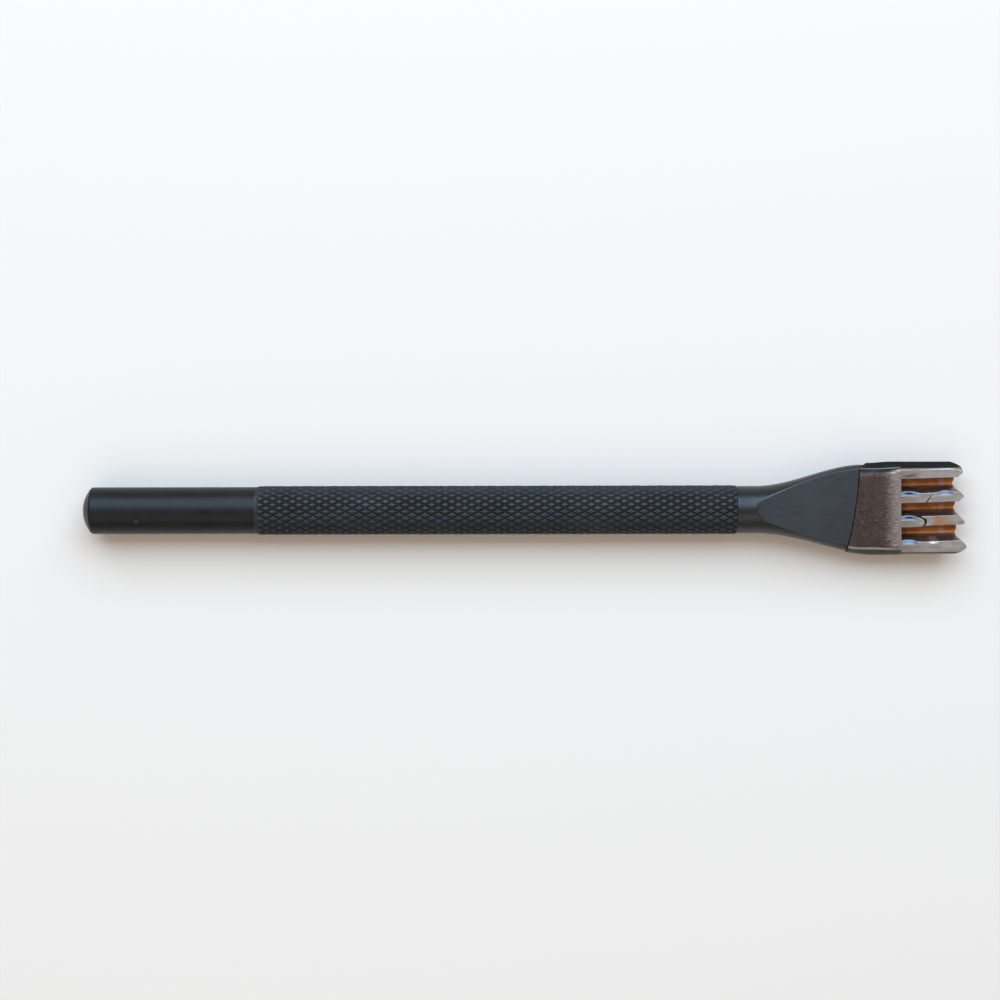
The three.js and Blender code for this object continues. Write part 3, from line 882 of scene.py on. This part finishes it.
def amber_metal():
    """Glossy amber steel on the groove floors, with painted shade at the root of the groove and where the
    floor rises into the wall, and a pale painted reflection.
    """
    m = Metal("glossy_amber_steel")
    along = m.axis("X")
    patch = m.noise((0.6, 1.0, 1.0), detail=3, distortion=0.3)
    grit = m.noise((4, 6, 6), detail=3)
    film = m.blend(m.steps(patch, 0.32, 0.68), (0.30, 0.080, 0.013), (0.50, 0.155, 0.030))
    film = m.blend(m.steps(grit, 0.62, 0.78, 0.0, 0.35), film, (0.42, 0.20, 0.09))
    # A pale painted reflection across the floor near the tips.
    pale = m.math("MULTIPLY", m.steps(along, 106.9, 107.3), m.steps(along, 107.9, 107.5), clamp=True)
    film = m.blend(m.math("MULTIPLY", pale, 0.5), film, (0.40, 0.25, 0.22))
    # Painted shade at the root of the groove.
    root = m.steps(m.math("ADD", along, m.steps(grit, 0.3, 0.7, -0.4, 0.4)), 102.2, 103.2, 1.0, 0.0)
    colour = m.blend(m.math("MULTIPLY", root, 0.85), film, (0.040, 0.014, 0.008))
    # Painted shade where the floor rises into the wall.
    colour = m.blend(m.math("MULTIPLY", m.mark("wall"), 0.9), colour, (0.16, 0.105, 0.08))
    rough = m.steps(patch, 0.3, 0.7, 0.34, 0.44)
    normal = m.bump(patch, 0.015, m.bump(grit, 0.004))
    return m.finish(colour, rough, normal, Metallic=0.7, Coat_Weight=0.1, Coat_Roughness=0.25)


# ---------------------------------------------------------------------------------------------------
# Assembly


def fit(piece, node, material):
    """Puts a piece in the place of its CAD node."""
    piece.data.materials.append(material)
    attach(piece, "root")
    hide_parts(node)


oxide = oxide_metal()
blued_and_painted_reflection = flare_metal()
tooth_steel = tooth_metal()
amber = amber_metal()
fit(make_crown(), "striking_crown", oxide)
fit(make_shank(), "plain_shank", oxide)
fit(make_grip(), "knurled_grip", knurl_metal())
fit(make_neck(), "neck", blued_and_painted_reflection)
fit(make_flare(), "flared_shoulder", blued_and_painted_reflection)
fit(make_head(), "ground_head", head_metal())
for k in TEETH:
    fit(make_tooth(k), f"tooth_{k}", tooth_steel)
for k in WEBS:
    fit(make_web(k), f"groove_web_{k}", amber)


# ---------------------------------------------------------------------------------------------------
# Studio


def make_floor():
    """A plain pale floor under the tool."""
    size = 1.5
    mesh = bpy.data.meshes.new("studio_floor")
    corners = [(-size, -size, 0), (size, -size, 0), (size, size, 0), (-size, size, 0)]
    mesh.from_pydata(corners, [], [(0, 1, 2, 3)])
    floor = bpy.data.objects.new("studio_floor", mesh)
    bpy.context.scene.collection.objects.link(floor)
    material = bpy.data.materials.new("studio_paper")
    material.use_nodes = True
    shader = material.node_tree.nodes["Principled BSDF"]
    shader.inputs["Base Color"].default_value = (0.88, 0.76, 0.66, 1)
    shader.inputs["Roughness"].default_value = 0.9
    mesh.materials.append(material)


def make_light(name, place, size, power, colour):
    """A soft rectangular lamp that looks at the middle of the tool."""
    lamp = bpy.data.lights.new(name, "AREA")
    lamp.shape = "RECTANGLE"
    lamp.size, lamp.size_y = size
    lamp.energy = power
    lamp.color = colour
    light = bpy.data.objects.new(name, lamp)
    light.location = place
    light.rotation_euler = Vector(place).to_track_quat("Z", "Y").to_euler()
    bpy.context.scene.collection.objects.link(light)


def make_world(colour, strength):
    world = bpy.data.worlds.new("studio_world")
    world.use_nodes = True
    background = world.node_tree.nodes["Background"]
    background.inputs["Color"].default_value = (*colour, 1)
    background.inputs["Strength"].default_value = strength
    bpy.context.scene.world = world


def make_camera():
    """Straight above the tool, turned by a tenth of a degree, with the tool just below the middle."""
    scale, distance, sensor = 125.16, 300.0, 36.0
    camera_data = bpy.data.cameras.new("camera")
    camera_data.sensor_width = sensor
    camera_data.lens = sensor * distance / scale
    camera_data.clip_start = 0.01
    camera = bpy.data.objects.new("camera", camera_data)
    camera.location = ORIGIN + MM * Vector((52.07, 1.25, distance))
    camera.rotation_euler = (0, 0, math.radians(-0.1))
    bpy.context.scene.collection.objects.link(camera)
    bpy.context.scene.camera = camera


make_floor()
make_light("sky_window", (0.0, 0.34, 0.42), (0.9, 0.5), 5.4, (0.55, 0.76, 1.0))
make_light("room_fill", (-0.1, -0.30, 0.40), (0.5, 0.3), 0.4, (1.0, 0.90, 0.78))
make_world((1.0, 0.97, 0.93), 0.40)
make_camera()
bpy.context.scene.view_settings.view_transform = "Standard"
